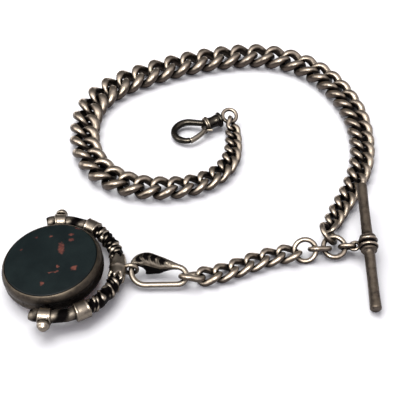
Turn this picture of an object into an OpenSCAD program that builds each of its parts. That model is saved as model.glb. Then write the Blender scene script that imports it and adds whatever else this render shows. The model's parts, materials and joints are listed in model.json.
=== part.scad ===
// Graduated curb-link watch chain with a T-bar, a dog clip and a swivel fob on a short drop chain.
// Laid out flat: +Z is up and z = 0 is the surface that it lies on.

/* [Main chain] */
// Pitch of the largest main links, from joint to joint
main_pitch = 5.36; // [5.2:0.02:5.4]
// Radius of a link's wire, as a share of its pitch
wire_share = 0.145; // [0.13:0.005:0.146]
// Bend radius at a link's ends, as a share of its pitch
bend_share = 0.588; // [0.57:0.002:0.6]
// Twist of each link end out of the flat, in degrees
twist = 32; // [28:1:36]
// Play between two links
play = 0.25; // [0.24:0.01:0.3]

/* [Drop chain] */
// Pitch of the drop links
drop_pitch = 4.15; // [4.05:0.01:4.2]
// Radius of the drop links' wire
drop_wire = 0.5; // [0.45:0.01:0.52]
// Bend radius at a drop link's ends
drop_bend = 1.9; // [1.8:0.05:2]

/* [Junction rings] */
// Bend radius of the round rings
ring_bend = 2.6; // [2.5:0.05:2.7]
// Radius of the rings' wire
ring_wire = 0.52; // [0.48:0.01:0.54]

/* [T-bar] */
// Radius of the bar
bar_r = 1.4; // [1.2:0.05:1.5]
// Length of the bar over its round ends
bar_len = 36.8; // [36:0.2:40]
// Radial gap between the bar and its collar
collar_fit = 0.05; // [0.03:0.01:0.1]
// Width of the collar
collar_w = 2.6; // [2.2:0.1:3]

/* [Fob] */
// Radius of the bezel
bezel_r = 12; // [11.6:0.1:12.1]
// Thickness of the bezel
bezel_t = 5.6; // [5.2:0.1:5.8]
// Radius of each stone
stone_r = 10.9; // [10.4:0.05:10.95]
// Thickness of each stone
stone_t = 1.9; // [1.5:0.1:2]
// Centre-line radius of the bail around the bezel
bail_r = 14.6; // [14.5:0.05:14.9]
// Radius of the bail's rod
bail_rod = 1.85; // [1.6:0.05:1.9]
// Radius of the two pivot pins
pin_r = 0.6; // [0.5:0.05:0.65]

/* [Dog clip] */
// Centre-line radius of the hook
hook_bend = 3.85; // [3.85:0.05:4]
// Radius of the hook's wire
hook_wire = 0.85; // [0.75:0.05:0.85]
// Radius of the barrel at its flared end
barrel_r = 1.9; // [1.7:0.05:2]

/* [Hidden] */
$fn = 48;
main_count = 52;
drop_count = 7;
pair_count = main_count / 2;

// ---- helpers ----

// Direction angles of a vector, for rotate(): the local X axis then points along v
function heading(v) = atan2(v.y, v.x);
function climb(v) = atan2(v.z, norm([v.x, v.y]));
function unit(v) = v / norm(v);

// Catmull-Rom curve through a list of flat points
function route_point(pts, t) =
    let (i = min(max(floor(t), 1), len(pts) - 3))
    let (f = t - i)
    let (a = pts[i - 1], b = pts[i], c = pts[i + 1], d = pts[i + 2])
    0.5 * (2 * b + (c - a) * f + (2 * a - 5 * b + 4 * c - d) * f * f
        + (3 * b - a - 3 * c + d) * f * f * f);

// First curve parameter after t that is one pitch away from p
function next_t(pts, t, p, pitch) =
    norm(route_point(pts, t) - p) >= pitch ? t : next_t(pts, t + 0.01, p, pitch);

// Joint points along a route, one pitch apart
function walk(pts, pitches, i, t, p) =
    i >= len(pitches) ? [] :
    let (t_next = next_t(pts, t, p, pitches[i]))
    let (q = p + pitches[i] * unit(route_point(pts, t_next) - p))
    concat([q], walk(pts, pitches, i + 1, t_next, q));

// Lays local X along a to b, centred between them
module between(a, b) {
    translate((a + b) / 2)
        rotate([0, -climb(b - a), heading(b - a)])
            children();
}

// Arc of round wire in the XY plane
module wire_arc(bend, wire, start, sweep) {
    rotate([0, 0, start])
        rotate_extrude(angle = sweep)
            translate([bend, 0])
                circle(wire);
}

// Round rod from p to q
module rod(p, q, r) {
    translate(p)
        rotate([0, 90 - climb(q - p), heading(q - p)])
            cylinder(h = norm(q - p), r = r);
}

// Wire link from joint a to joint b. Each end is a half ring that is rolled about the link's axis.
module link(a, b, bend, wire, roll_back, roll_front) {
    straight = norm(b - a) / 2 + wire + play / 2 - bend;
    between(a, b) {
        rotate([roll_front, 0, 0])
            translate([straight, 0, 0])
                wire_arc(bend, wire, -90, 180);
        rotate([roll_back, 0, 0])
            translate([-straight, 0, 0])
                wire_arc(bend, wire, 90, 180);
        for (side = [-bend, bend]) {
            back = [-straight, side * cos(roll_back), side * sin(roll_back)];
            front = [straight, side * cos(roll_front), side * sin(roll_front)];
            rod(back, front, wire);
            translate(back)
                sphere(wire * shoulder);
            translate(front)
                sphere(wire * shoulder);
        }
    }
}

// Plain oval wire link from joint a to joint b, rolled about its own length
module flat_link(a, b, bend, wire, roll) {
    straight = norm(b - a) / 2 + wire + play / 2 - bend;
    between(a, b)
        rotate([roll, 0, 0])
            for (side = [-1, 1]) {
                translate([side * straight, 0, 0])
                    wire_arc(bend, wire, -90 * side, 180);
                rod([-straight, side * bend, 0], [straight, side * bend, 0], wire);
            }
}

// Round wire ring whose axis is n
module ring(centre, n, bend, wire) {
    translate(centre)
        rotate([0, 90 - climb(n), heading(n)])
            rotate_extrude()
                translate([bend, 0])
                    circle(wire);
}

// The corner spheres stand this much proud of the wire, so that they blend its bends
shoulder = 1.05;

// ---- junction ----

// From a ring's centre to the joint where a link hangs on it
reach = ring_bend - ring_wire - play / 2;
junction_at = [32.2, -28.6, 2.1];
junction_n = unit([0, -0.4, 0.92]);
// Joints on the junction ring: the main chain's ring, the drop side and the T-bar side
to_main = unit([-0.4, 0.84, 0.365]);
main_joint = junction_at + reach * to_main;
drop_joint = junction_at + reach * unit([-0.95, -0.25, -0.11]);
bar_joint = junction_at + reach * [1, 0, 0];

end_ring_at = main_joint + reach * unit([-0.2, 0.97, 0.1]);
end_ring_n = unit([0.75, 0.09, 0.64]);
end_joint = end_ring_at + reach * unit([0.3, 0.93, -0.48]);

drop_ring_at = [24.9, -30, 2.4];
drop_ring_n = unit([0, -1, 1]);
junction_link_joint = drop_ring_at + reach * unit([0.985, 0.1, 0.1]);
drop_start = drop_ring_at + reach * unit([-0.94, -0.24, -0.24]);

// ---- main chain ----

// Points that the main chain lies along
main_route = [
    [30.3, -31.8], [31.5, -23.4], [34.6, -16.4], [38.9, -8.8], [42.9, 0.8], [44.6, 11.2], [44.2, 22.2],
    [41.3, 32.4], [36, 42], [28.5, 48.4], [18.5, 51.6], [7, 50.6], [-4.8, 47.3], [-16, 42.2],
    [-26, 35.6], [-32, 27.2], [-33.4, 16.7], [-32, 6.7], [-27.3, -1.8], [-19.5, -6.8], [-11, -8],
    [-3, -6.8], [3.8, -2.8], [7.7, 3.7], [8.7, 12.2], [8.2, 20.6], [6.8, 29.2]
];
// Share of the full pitch along the chain: both of its ends are smaller
grading = [
    [1, 0.62], [8, 0.79], [12, 0.85], [17, 0.94], [21, 1], [31, 1], [37, 0.92], [43, 0.8],
    [52, 0.575]
];
main_pitches = [for (i = [1 : main_count]) main_pitch * lookup(i, grading)];
main_flat = walk(main_route, main_pitches, 0, 1, [end_joint.x, end_joint.y]);
// Half the thickness of a twisted link as a share of its pitch: its joints lie this high
lie = bend_share * sin(twist) + wire_share * shoulder;
// Every joint is raised a little to keep its links off the surface, and those by the first and
// last links more, because they stand steeper than the rest
function main_lift(i) = i == 1 ? 0.18 : i == main_count - 1 ? 0.33 : i == main_count ? 1.08 : 0.035;
main_joints = concat([end_joint], [
    for (i = [0 : main_count - 1])
        [main_flat[i].x, main_flat[i].y, lie * main_pitches[i] + main_lift(i + 1)]
]);
main_back_rolls = [for (i = [1 : main_count]) i == 1 ? -46 : twist];
main_front_rolls = [for (i = [1 : main_count]) i == main_count ? 68 : -twist];

// ---- drop chain ----

// Points that the drop chain lies along
drop_route = [
    [26.8, -29.8], [23, -30.3], [17.4, -31], [10.4, -33.8], [3.3, -36.9], [-4.4, -38.1],
    [-10.2, -38.1]
];
drop_pitches = [for (i = [1 : drop_count]) drop_pitch];
drop_flat = walk(drop_route, drop_pitches, 0, 1, [drop_start.x, drop_start.y]);
drop_lie = drop_bend * sin(twist) + drop_wire * shoulder;
drop_joints = concat([drop_start], [
    for (i = [1 : drop_count])
        [drop_flat[i - 1].x, drop_flat[i - 1].y, drop_lie + (i == drop_count ? 0.7 : 0)]
]);

// ---- pear loop and fob ----

pear_joint = drop_joints[drop_count];
pear_wire = 0.6;
pear_big = 3.4;
pear_small = 2.1;
pear_reach = 11.7;
pear_roll = -25;
pear_heading = 172;
fob_axis_z = 3.95;
bail_dip = 3;
eye_bend = 1.5;
eye_wire = 0.5;
// From the pivot axis to the joint between the eye and the pear loop, along the bail
eye_reach = 19.2;
eye_joint = [
    pear_joint.x + pear_reach * cos(pear_heading),
    pear_joint.y + pear_reach * sin(pear_heading),
    fob_axis_z - eye_reach * sin(bail_dip)
];
fob_at = [eye_joint.x - eye_reach * cos(bail_dip), eye_joint.y, fob_axis_z];
// The bezel leans about its pivot axis until its edge rests
bezel_lean = 5.5;
web_t = 1.9;
bezel_edge = 0.7;
bail_shift = 0.7;
// Where the bail's bands sit, in degrees from its eye
pivot_band_at = 92.7;
outer_band_at = 60;
pin_fit = 0.05;
// Slack of a pin in the part that holds it fast
pin_seat = 0.015;

// ---- dog clip ----

clip_heading = 204;
clip_dip = 6;
eye_roll = 25;
clip_eye_bend = 2;
clip_eye_wire = 0.55;
clip_reach = clip_eye_bend - clip_eye_wire - play / 2;
// From the last main joint to the eye's centre, across the clip in the eye's own plane
eye_side = [
    sin(clip_heading) * cos(eye_roll),
    -cos(clip_heading) * cos(eye_roll),
    sin(eye_roll)
];
clip_at = main_joints[main_count] + clip_reach * eye_side;
stem_r = 0.55;
hook_x = 13.2;
hook_start_angle = -127;
hook_tip_angle = 72;
gate_pivot = [8.6, 2];
gate_tip = [13.6, 3.85];
// How far the gate runs on past its tip point, up to the hook's end
gate_lap = 0.25;
gate_pin_r = 0.35;

// ---- T-bar ----

bar_low = [39.7, -46.5, bar_r];
bar_high = [40.8, -11.7, 6];
bar_mid = (bar_low + bar_high) / 2;
bar_dir = unit(bar_high - bar_low);
bead_r = 2;
bead_w = 0.8;
collar_r = 2.35;
bar_link_bend = 1.3;
bar_link_wire = 0.45;
bar_eye_bend = 1.15;
bar_eye_wire = 0.42;
// The collar's eye points out and a little down, towards the junction
eye_out = unit([-1, 0.1, -0.35]);
eye_n = unit([-0.35, 0, 1]);
bar_eye_at = bar_mid + (collar_r + bar_eye_bend - 0.15) * eye_out;
bar_eye_joint = bar_eye_at + (bar_eye_bend - bar_eye_wire - play / 2) * eye_out;

// ---- node names ----

function pair_name(p) = str("main_links_", p < 10 ? "0" : "", p);
function drop_name(i) = str("drop_link_", i);

// ---- chain parts ----

module junction_ring() {
    color([0.55, 0.51, 0.44])
        ring(junction_at, junction_n, ring_bend, ring_wire);
}

module main_end_ring() {
    color([0.55, 0.51, 0.44])
        ring(end_ring_at, end_ring_n, ring_bend, ring_wire);
}

module main_link(i) {
    pitch = main_pitches[i - 1];
    link(main_joints[i - 1], main_joints[i], bend_share * pitch, wire_share * pitch,
        main_back_rolls[i - 1], main_front_rolls[i - 1]);
}

module main_links(p) {
    color([0.45, 0.41, 0.35]) {
        main_link(2 * p - 1);
        main_link(2 * p);
    }
}

module drop_link(i) {
    color([0.5, 0.46, 0.39])
        link(drop_joints[i - 1], drop_joints[i], drop_bend, drop_wire,
            twist, i == drop_count ? 45 : -twist);
}

module drop_ring() {
    color([0.55, 0.51, 0.44])
        ring(drop_ring_at, drop_ring_n, ring_bend, ring_wire);
}

module junction_link() {
    color([0.55, 0.51, 0.44])
        link(junction_link_joint, drop_joint, 1.6, ring_wire, -50, -50);
}

module t_bar_link() {
    color([0.55, 0.51, 0.44])
        flat_link(bar_joint, bar_eye_joint, bar_link_bend, bar_link_wire, -62);
}

// ---- T-bar ----

// Local Z along the bar, from its middle
module on_bar() {
    translate(bar_mid)
        rotate([0, 90 - climb(bar_dir), heading(bar_dir)])
            children();
}

module t_bar() {
    half = bar_len / 2 - bar_r;
    color([0.42, 0.39, 0.34])
        on_bar() {
            translate([0, 0, -half])
                cylinder(h = 2 * half, r = bar_r);
            for (end = [-half, half])
                translate([0, 0, end])
                    sphere(bar_r);
            for (side = [-1, 1])
                translate([0, 0, side * (collar_w / 2 + 0.1 + bead_w / 2)])
                    cylinder(h = bead_w, r = bead_r, center = true);
        }
}

module t_bar_collar() {
    color([0.5, 0.46, 0.39])
        difference() {
            union() {
                on_bar()
                    cylinder(h = collar_w, r = collar_r, center = true);
                ring(bar_eye_at, eye_n, bar_eye_bend, bar_eye_wire);
            }
            on_bar()
                cylinder(h = 3 * collar_w, r = bar_r + collar_fit, center = true);
        }
}

// ---- pear loop ----

// Local X from the drop chain to the fob, local Z out of the loop's plane
module in_pear() {
    translate(pear_joint)
        rotate([0, -climb(eye_joint - pear_joint), pear_heading])
            rotate([pear_roll, 0, 0])
                children();
}

module pear_loop() {
    inset = pear_wire + play / 2;
    small_x = pear_small - inset;
    big_x = norm(eye_joint - pear_joint) + inset - pear_big;
    // The two sides lean by this much, from the small end to the big one
    slope = asin((pear_big - pear_small) / (big_x - small_x));
    function rim(x, r, side) = [x - r * sin(slope), side * r * cos(slope), 0];
    band_w = 4.4;
    band_t = 1;
    // The band's curved part is a little thicker and lower than the straight one, so that their
    // faces cross cleanly
    curve_t = band_t + 0.15;
    curve_r = pear_big - band_t / 2 - 0.13;
    curve_low = 0.2 - band_w / 2;
    curve_start = -95;
    curve_sweep = 53;
    color([0.45, 0.41, 0.35])
        in_pear() {
            translate([small_x, 0, 0])
                wire_arc(pear_small, pear_wire, 90 + slope, 180 - 2 * slope);
            translate([big_x, 0, 0])
                wire_arc(pear_big, pear_wire, -90 - slope, 180 + 2 * slope);
            for (side = [-1, 1]) {
                rod(rim(small_x, pear_small, side), rim(big_x, pear_big, side), pear_wire);
                translate(rim(small_x, pear_small, side))
                    sphere(pear_wire * shoulder);
                translate(rim(big_x, pear_big, side))
                    sphere(pear_wire * shoulder);
            }
            // Broad band on the upper side
            translate([big_x, 0, 0])
                rotate([0, 0, curve_start - slope])
                    rotate_extrude(angle = curve_sweep)
                        translate([curve_r, curve_low])
                            square([curve_t, band_w]);
            intersection() {
                translate([small_x, 0, 0])
                    rotate([0, 0, -slope])
                        translate([2.2, -pear_small - band_t / 2, -band_w / 2])
                            cube([big_x - small_x - 2.1, band_t, band_w]);
                rotate([90, 0, 0])
                    linear_extrude(9, center = true)
                        polygon([
                            [small_x + 1, -0.6], [big_x - 1.5, -band_w], [big_x + 2, -band_w],
                            [big_x + 2, band_w], [big_x - 1.5, band_w], [small_x + 1, 0.6]
                        ]);
            }
        }
}

// ---- fob ----

// Local X along the bail towards its eye, local Y along the pivot axis
module in_bail() {
    translate(fob_at)
        rotate([0, bail_dip, 0])
            children();
}

// A collar around the bail's rod at an angle from the eye
module bail_band(angle, r, width) {
    translate([bail_shift, 0, 0])
        rotate([0, 0, angle])
            translate([bail_r, 0, 0])
                rotate([90, 0, 0])
                    cylinder(h = width, r = r, center = true);
}

module fob_bail() {
    span = 106;
    color([0.42, 0.38, 0.33])
        difference() {
            in_bail() {
                translate([bail_shift, 0, 0])
                    wire_arc(bail_r, bail_rod, -span, 2 * span);
                for (side = [-1, 1]) {
                    bail_band(side * pivot_band_at, 1.95, 3);
                    bail_band(side * outer_band_at, 2.15, 3.4);
                }
                bail_band(0, 2.2, 4.6);
                translate([eye_reach - eye_bend + eye_wire + play / 2, 0, 0])
                    rotate([90, 0, 0])
                        rotate_extrude()
                            translate([eye_bend, 0])
                                circle(eye_wire);
            }
            translate(fob_at)
                rotate([90, 0, 0])
                    cylinder(h = 4 * bail_r, r = pin_r + pin_seat, center = true);
        }
}

module pivot_pin(side) {
    head_r = 1.25;
    dome_r = 0.95;
    head_y = bail_r + 1.98;
    color([0.6, 0.55, 0.46])
        translate(fob_at)
            rotate([-90 * side, 0, 0]) {
                translate([0, 0, bezel_r - 2])
                    cylinder(h = head_y - bezel_r + 2, r = pin_r);
                translate([0, 0, head_y])
                    cylinder(h = 1, r = head_r);
                translate([0, 0, head_y + dome_r])
                    sphere(dome_r);
            }
}

// Local Z along the bezel's axis
module in_bezel() {
    translate(fob_at)
        rotate([0, -bezel_lean, 0])
            children();
}

module fob_bezel() {
    half = bezel_t / 2;
    color([0.42, 0.4, 0.35])
        in_bezel()
            difference() {
                rotate_extrude()
                    polygon([
                        [0, -half], [bezel_r - bezel_edge, -half],
                        [bezel_r, bezel_edge * 1.6 - half], [bezel_r, half - bezel_edge * 1.6],
                        [bezel_r - bezel_edge, half], [0, half]
                    ]);
                for (side = [-1, 1])
                    translate([0, 0, side * (web_t / 2 + half)])
                        cylinder(h = 2 * half, r = stone_r + 0.03, center = true);
                for (side = [-1, 1])
                    rotate([-90 * side, 0, 0])
                        translate([0, 0, bezel_r - 2.3])
                            cylinder(h = 3, r = pin_r + pin_fit);
            }
}

module stone(side) {
    bevel = 0.25;
    in_bezel()
        rotate([side > 0 ? 0 : 180, 0, 0])
            translate([0, 0, web_t / 2 + 0.01]) {
                cylinder(h = stone_t - bevel, r = stone_r);
                translate([0, 0, stone_t - bevel])
                    cylinder(h = bevel, r1 = stone_r, r2 = stone_r - bevel);
            }
}

module bloodstone() {
    color([0.14, 0.19, 0.19])
        stone(1);
}

module carnelian() {
    color([0.5, 0.16, 0.08])
        stone(-1);
}

// ---- dog clip ----

// Local X from the swivel eye to the hook's end, local Y towards the gate
module in_clip() {
    translate(clip_at)
        rotate([0, clip_dip, clip_heading])
            children();
}

module clip_swivel_eye() {
    color([0.6, 0.56, 0.48])
        in_clip() {
            rotate([-eye_roll, 0, 0])
                wire_arc(clip_eye_bend, clip_eye_wire, 0, 360);
            translate([clip_eye_bend, 0, 0])
                rotate([0, 90, 0])
                    cylinder(h = 3.3, r = stem_r);
            translate([4.6, 0, 0])
                rotate([0, 90, 0])
                    cylinder(h = 0.6, r = 0.9);
        }
}

module clip_barrel() {
    color([0.38, 0.36, 0.33])
        in_clip()
            rotate([0, 90, 0])
                rotate_extrude()
                    polygon([
                        [stem_r + 0.05, 2.75], [barrel_r - 0.35, 2.75], [barrel_r, 3.1],
                        [barrel_r, 3.6], [barrel_r - 0.35, 4.3], [barrel_r - 0.6, 5.4],
                        [barrel_r - 0.45, 6.4], [barrel_r - 0.35, 6.75], [0, 6.75],
                        [0, 5.4], [1, 5.4], [1, 4.4], [stem_r + 0.05, 4.4]
                    ]);
}

module clip_collar() {
    color([0.66, 0.62, 0.53])
        in_clip()
            rotate([0, 90, 0])
                rotate_extrude()
                    polygon([
                        [0, 6.75], [barrel_r - 0.2, 6.75], [barrel_r + 0.1, 7.05],
                        [barrel_r + 0.1, 7.45], [barrel_r - 0.25, 7.8], [0, 7.8]
                    ]);
}

module clip_hook() {
    face_x = 7.8;
    // The straight root is a little slimmer than the bow that it runs into
    root_wire = hook_wire - 0.02;
    start = [hook_x + hook_bend * cos(hook_start_angle), hook_bend * sin(hook_start_angle), 0];
    color([0.25, 0.23, 0.22])
        in_clip()
            difference() {
                union() {
                    translate([hook_x, 0, 0])
                        wire_arc(hook_bend, hook_wire, hook_start_angle,
                            hook_tip_angle - hook_start_angle);
                    rod([face_x - 0.6, -0.3, 0], start, root_wire);
                    // Fork that carries the gate's pin
                    for (side = [-1, 1])
                        translate([face_x - 0.1, -0.4, side * 0.75 - 0.25])
                            cube([1.5, 3, 0.5]);
                }
                // The root is cut flush with the collar's face
                translate([face_x - 3, -3, -3])
                    cube([3, 6, 6]);
                translate([gate_pivot.x, gate_pivot.y, 0])
                    cylinder(h = 3, r = gate_pin_r + pin_seat, center = true);
            }
}

module clip_gate() {
    reach_x = gate_tip.x - gate_pivot.x;
    reach_y = gate_tip.y - gate_pivot.y;
    color([0.55, 0.51, 0.44])
        in_clip()
            difference() {
                union() {
                    translate([gate_pivot.x, gate_pivot.y, 0])
                        cylinder(h = 0.8, r = 0.7, center = true);
                    translate([gate_pivot.x, gate_pivot.y, 0])
                        rotate([0, 0, atan2(reach_y, reach_x)])
                            translate([0, -0.45, -0.4])
                                cube([norm([reach_x, reach_y]) + gate_lap, 0.9, 0.8]);
                    // Thumb lever
                    translate([gate_pivot.x, gate_pivot.y, 0])
                        rotate([0, 0, 140])
                            translate([0, -0.35, -0.4])
                                cube([1.8, 0.7, 0.8]);
                }
                translate([gate_pivot.x, gate_pivot.y, 0])
                    cylinder(h = 3, r = gate_pin_r + 0.04, center = true);
            }
}

module gate_pin() {
    color([0.6, 0.56, 0.48])
        in_clip()
            translate([gate_pivot.x, gate_pivot.y, 0])
                cylinder(h = 2.2, r = gate_pin_r, center = true);
}

module gate_spring() {
    color([0.3, 0.29, 0.28])
        in_clip()
            translate([7.8, 0.3, -0.3])
                cube([0.9, 0.18, 0.6]);
}

junction_ring();
main_end_ring();
for (p = [1 : pair_count])
    main_links(p);
clip_swivel_eye();
clip_barrel();
clip_hook();
clip_collar();
clip_gate();
gate_pin();
gate_spring();
t_bar_link();
t_bar_collar();
t_bar();
junction_link();
drop_ring();
for (i = [1 : drop_count])
    drop_link(i);
pear_loop();
fob_bail();
pivot_pin(1);  // upper_pivot_pin
pivot_pin(-1);  // lower_pivot_pin
fob_bezel();
bloodstone();
carnelian();
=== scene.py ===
import json
import math

import bpy
import numpy as np
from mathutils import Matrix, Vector


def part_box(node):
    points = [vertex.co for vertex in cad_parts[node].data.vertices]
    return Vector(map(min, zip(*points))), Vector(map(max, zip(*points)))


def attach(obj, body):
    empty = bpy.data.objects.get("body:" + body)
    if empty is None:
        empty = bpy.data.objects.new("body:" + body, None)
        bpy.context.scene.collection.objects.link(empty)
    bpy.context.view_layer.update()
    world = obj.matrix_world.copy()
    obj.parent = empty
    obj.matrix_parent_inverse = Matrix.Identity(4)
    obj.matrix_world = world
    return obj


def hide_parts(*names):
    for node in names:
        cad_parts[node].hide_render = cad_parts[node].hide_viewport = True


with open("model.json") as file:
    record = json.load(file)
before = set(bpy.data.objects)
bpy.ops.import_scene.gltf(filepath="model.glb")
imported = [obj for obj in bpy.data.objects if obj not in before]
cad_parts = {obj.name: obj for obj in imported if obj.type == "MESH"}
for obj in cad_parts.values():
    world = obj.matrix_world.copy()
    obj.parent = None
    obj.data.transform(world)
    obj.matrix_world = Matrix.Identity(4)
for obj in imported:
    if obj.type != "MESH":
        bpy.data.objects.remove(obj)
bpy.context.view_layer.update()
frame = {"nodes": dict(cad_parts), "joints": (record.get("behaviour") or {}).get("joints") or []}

# Lengths in this script are in millimetres; MM turns them into the frame's metres.
MM = 0.001
JOINTS = {j["name"]: j for j in frame["joints"]}

# As in the CAD: bend radius and wire radius as shares of a link's pitch, the roll of its two half
# rings in degrees, and the gap that is left where two parts hook together
BEND_SHARE = 0.588
WIRE_SHARE = 0.145
TWIST = 32
PLAY = 0.25
# Worn links touch where they pull on each other, so they are this much stouter than in the CAD
CONTACT = 0.11


# ---- frames of reference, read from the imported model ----

# How far the mean of a ring's vertices may lie from the middle of its box
UNEVEN = 0.05


def unit(v):
    v = np.asarray(v, float)
    return v / np.linalg.norm(v)


def pivot(joint):
    return np.array(JOINTS[joint]["pos_m"]) / MM


def axis(joint):
    return unit(JOINTS[joint]["axis"])


def vertices_of(node):
    mesh = frame["nodes"][node].data
    co = np.zeros(len(mesh.vertices) * 3)
    mesh.vertices.foreach_get("co", co)
    return co.reshape(-1, 3) / MM


def along(start, end, roll=0.0):
    """Columns: X from start to end, Y level and sideways, Z up; then rolled about X."""
    x = unit(np.asarray(end) - np.asarray(start))
    y = unit(np.cross([0, 0, 1], x))
    z = np.cross(x, y)
    c, s = math.cos(math.radians(roll)), math.sin(math.radians(roll))
    return np.column_stack([x, c * y + s * z, c * z - s * y])


def ring_frame(node):
    """Centre, plane and radii of a torus, from its CAD vertices."""
    co = vertices_of(node)
    centre = (co.min(0) + co.max(0)) / 2
    # The mean is the truer centre, unless the vertices are spread unevenly round the ring
    mean = co.mean(0)
    if np.linalg.norm(mean - centre) < UNEVEN:
        centre = mean
    planes = np.linalg.svd(co - centre, full_matrices=False)[2]
    local = (co - centre) @ planes.T
    wire = np.abs(local[:, 2]).max()
    outer = np.hypot(local[:, 0], local[:, 1]).max()
    return centre, planes.T, outer - wire, wire


# ---- mesh building ----

# The share of a worn top that is gone
RUBBED_AWAY = 0.7


def circle_points(radius, start, sweep, count):
    t = np.radians(np.linspace(start, start + sweep, count))
    return np.column_stack([radius * np.cos(t), radius * np.sin(t), 0 * t])


def resample(path, count, closed):
    loop = np.vstack([path, path[:1]]) if closed else path
    run = np.concatenate([[0], np.cumsum(np.linalg.norm(np.diff(loop, axis=0), axis=1))])
    t = np.linspace(0, run[-1], count, endpoint=not closed)
    return np.column_stack([np.interp(t, run, loop[:, k]) for k in range(3)])


def smoothed(path, rounds, closed):
    for _ in range(rounds):
        inner = (np.roll(path, 1, 0) + 2 * path + np.roll(path, -1, 0)) / 4
        if not closed:
            inner[0], inner[-1] = path[0], path[-1]
        path = inner
    return path


def path_frames(path, closed, first=None):
    """Tangents, normals and binormals that turn as little as they can along the path."""
    if closed:
        tangents = np.roll(path, -1, 0) - np.roll(path, 1, 0)
    else:
        tangents = np.gradient(path, axis=0)
    tangents /= np.linalg.norm(tangents, axis=1)[:, None]
    guess = np.array([0, 0, 1.0]) if first is None else np.asarray(first, float)
    normals = np.zeros_like(path)
    for i, t in enumerate(tangents):
        guess = unit(guess - t * (guess @ t))
        normals[i] = guess
    if closed:
        # Spread what is left over at the seam along the whole loop
        end = unit(guess - tangents[0] * (guess @ tangents[0]))
        gap = math.atan2(np.cross(end, normals[0]) @ tangents[0], end @ normals[0])
        for i, t in enumerate(tangents):
            a = gap * i / len(path)
            n = normals[i]
            normals[i] = math.cos(a) * n + math.sin(a) * np.cross(t, n)
    return tangents, normals, np.cross(tangents, normals)


def tube_grid(path, section, closed=True, sides=18, first=None):
    """Rows of points round a path. section is a radius, or a function of (place 0-1, angle) that
    gives how far each point stands off along the normal and the binormal."""
    _, normals, binormals = path_frames(path, closed, first)
    angles = np.linspace(0, 2 * math.pi, sides, endpoint=False)[None, :]
    count = len(path)
    place = (np.arange(count) / (count if closed else count - 1))[:, None]
    if callable(section):
        off_n, off_b = section(place, angles)
    else:
        off_n, off_b = section * np.cos(angles), section * np.sin(angles)
    off_n = np.broadcast_to(off_n, (count, angles.size))
    off_b = np.broadcast_to(off_b, (count, angles.size))
    grid = path[:, None, :] + off_n[:, :, None] * normals[:, None, :]
    return grid + off_b[:, :, None] * binormals[:, None, :]


def grid_faces(rows, sides, closed, start=0):
    faces = []
    for i in range(rows if closed else rows - 1):
        j = (i + 1) % rows
        for k in range(sides):
            m = (k + 1) % sides
            faces.append((start + i * sides + k, start + i * sides + m,
                          start + j * sides + m, start + j * sides + k))
    if not closed:
        faces.append(tuple(start + k for k in reversed(range(sides))))
        faces.append(tuple(start + (rows - 1) * sides + k for k in range(sides)))
    return faces


class Shape:
    """Points and faces of one piece, gathered from several grids."""

    def __init__(self):
        self.points = []
        self.faces = []
        self.finish = []
        self.cuts = []
        self.size = 0

    def grid(self, grid, closed, finish=0, cut=0.0):
        """finish is the index of the material that these faces take; the mark is 1 in engraved hollows and
        where shadow is painted.
        """
        rows, sides = grid.shape[:2]
        self.cuts.append(np.broadcast_to(cut, (rows, sides)).ravel())
        faces = grid_faces(rows, sides, closed, self.size)
        self.faces += faces
        self.finish += [finish] * len(faces)
        self.points.append(grid.reshape(-1, 3))
        self.size += rows * sides
        return self

    def tube(self, path, section, closed=True, sides=18, first=None, finish=0, cut=0.0):
        return self.grid(tube_grid(path, section, closed, sides, first), closed, finish, cut)

    def lathe(self, profile, place, sides=48, closed=False, finish=0, cut=0.0):
        """profile is a list of (distance along X, radius); place moves local points."""
        profile = np.array(profile, float)
        t = np.linspace(0, 2 * math.pi, sides, endpoint=False)
        x = np.repeat(profile[:, :1], sides, 1)
        y = -profile[:, 1:] * np.cos(t)[None, :]
        z = profile[:, 1:] * np.sin(t)[None, :]
        return self.grid(place(np.stack([x, y, z], 2)), closed, finish, cut)

    def plate(self, outline, low, high, bevel, place, finish=0):
        """A flat plate with rounded rims: outline is a list of (x, y), low and high are its faces."""
        outline = np.array(outline, float)
        middle = outline.mean(0)
        away = outline - middle
        inset = outline - bevel * away / np.linalg.norm(away, axis=1)[:, None]
        rows = [(inset, low), (outline, low + bevel), (outline, high - bevel), (inset, high)]
        local = np.stack([np.column_stack([o, np.full(len(o), z)]) for o, z in rows])
        return self.grid(place(local), False, finish)

    def object(self, name, materials, body, slot, replaces=(), worn=0.0):
        materials = materials if isinstance(materials, (list, tuple)) else [materials]
        points = np.vstack(self.points)
        if worn:
            points = file_top(points, worn)
        mesh = bpy.data.meshes.new(name)
        mesh.from_pydata((points * MM).tolist(), [], self.faces)
        for material in materials:
            mesh.materials.append(material)
        mesh.polygons.foreach_set("material_index", self.finish)
        mesh.polygons.foreach_set("use_smooth", [True] * len(mesh.polygons))
        cut = mesh.attributes.new("cut", "FLOAT", "POINT")
        cut.data.foreach_set("value", np.concatenate(self.cuts))
        mesh.update()
        piece = bpy.data.objects.new(name, mesh)
        bpy.context.scene.collection.objects.link(piece)
        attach(piece, body)
        if replaces:
            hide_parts(*replaces)
        return piece


def file_top(points, depth):
    """Wear: most of what stands within depth of a piece's top is rubbed away."""
    level = points[:, 2].max() - depth
    over = np.maximum(points[:, 2] - level, 0)
    points = points.copy()
    points[:, 2] -= over * RUBBED_AWAY
    return points


def frame_map(origin, columns):
    """A function that takes local points to the frame: columns are the local axes."""
    return lambda local: np.asarray(local) @ columns.T + origin


def upwards(place):
    """Where local Z points in the frame."""
    return place([0, 0, 1]) - place([0, 0, 0])


# ---- materials ----

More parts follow.
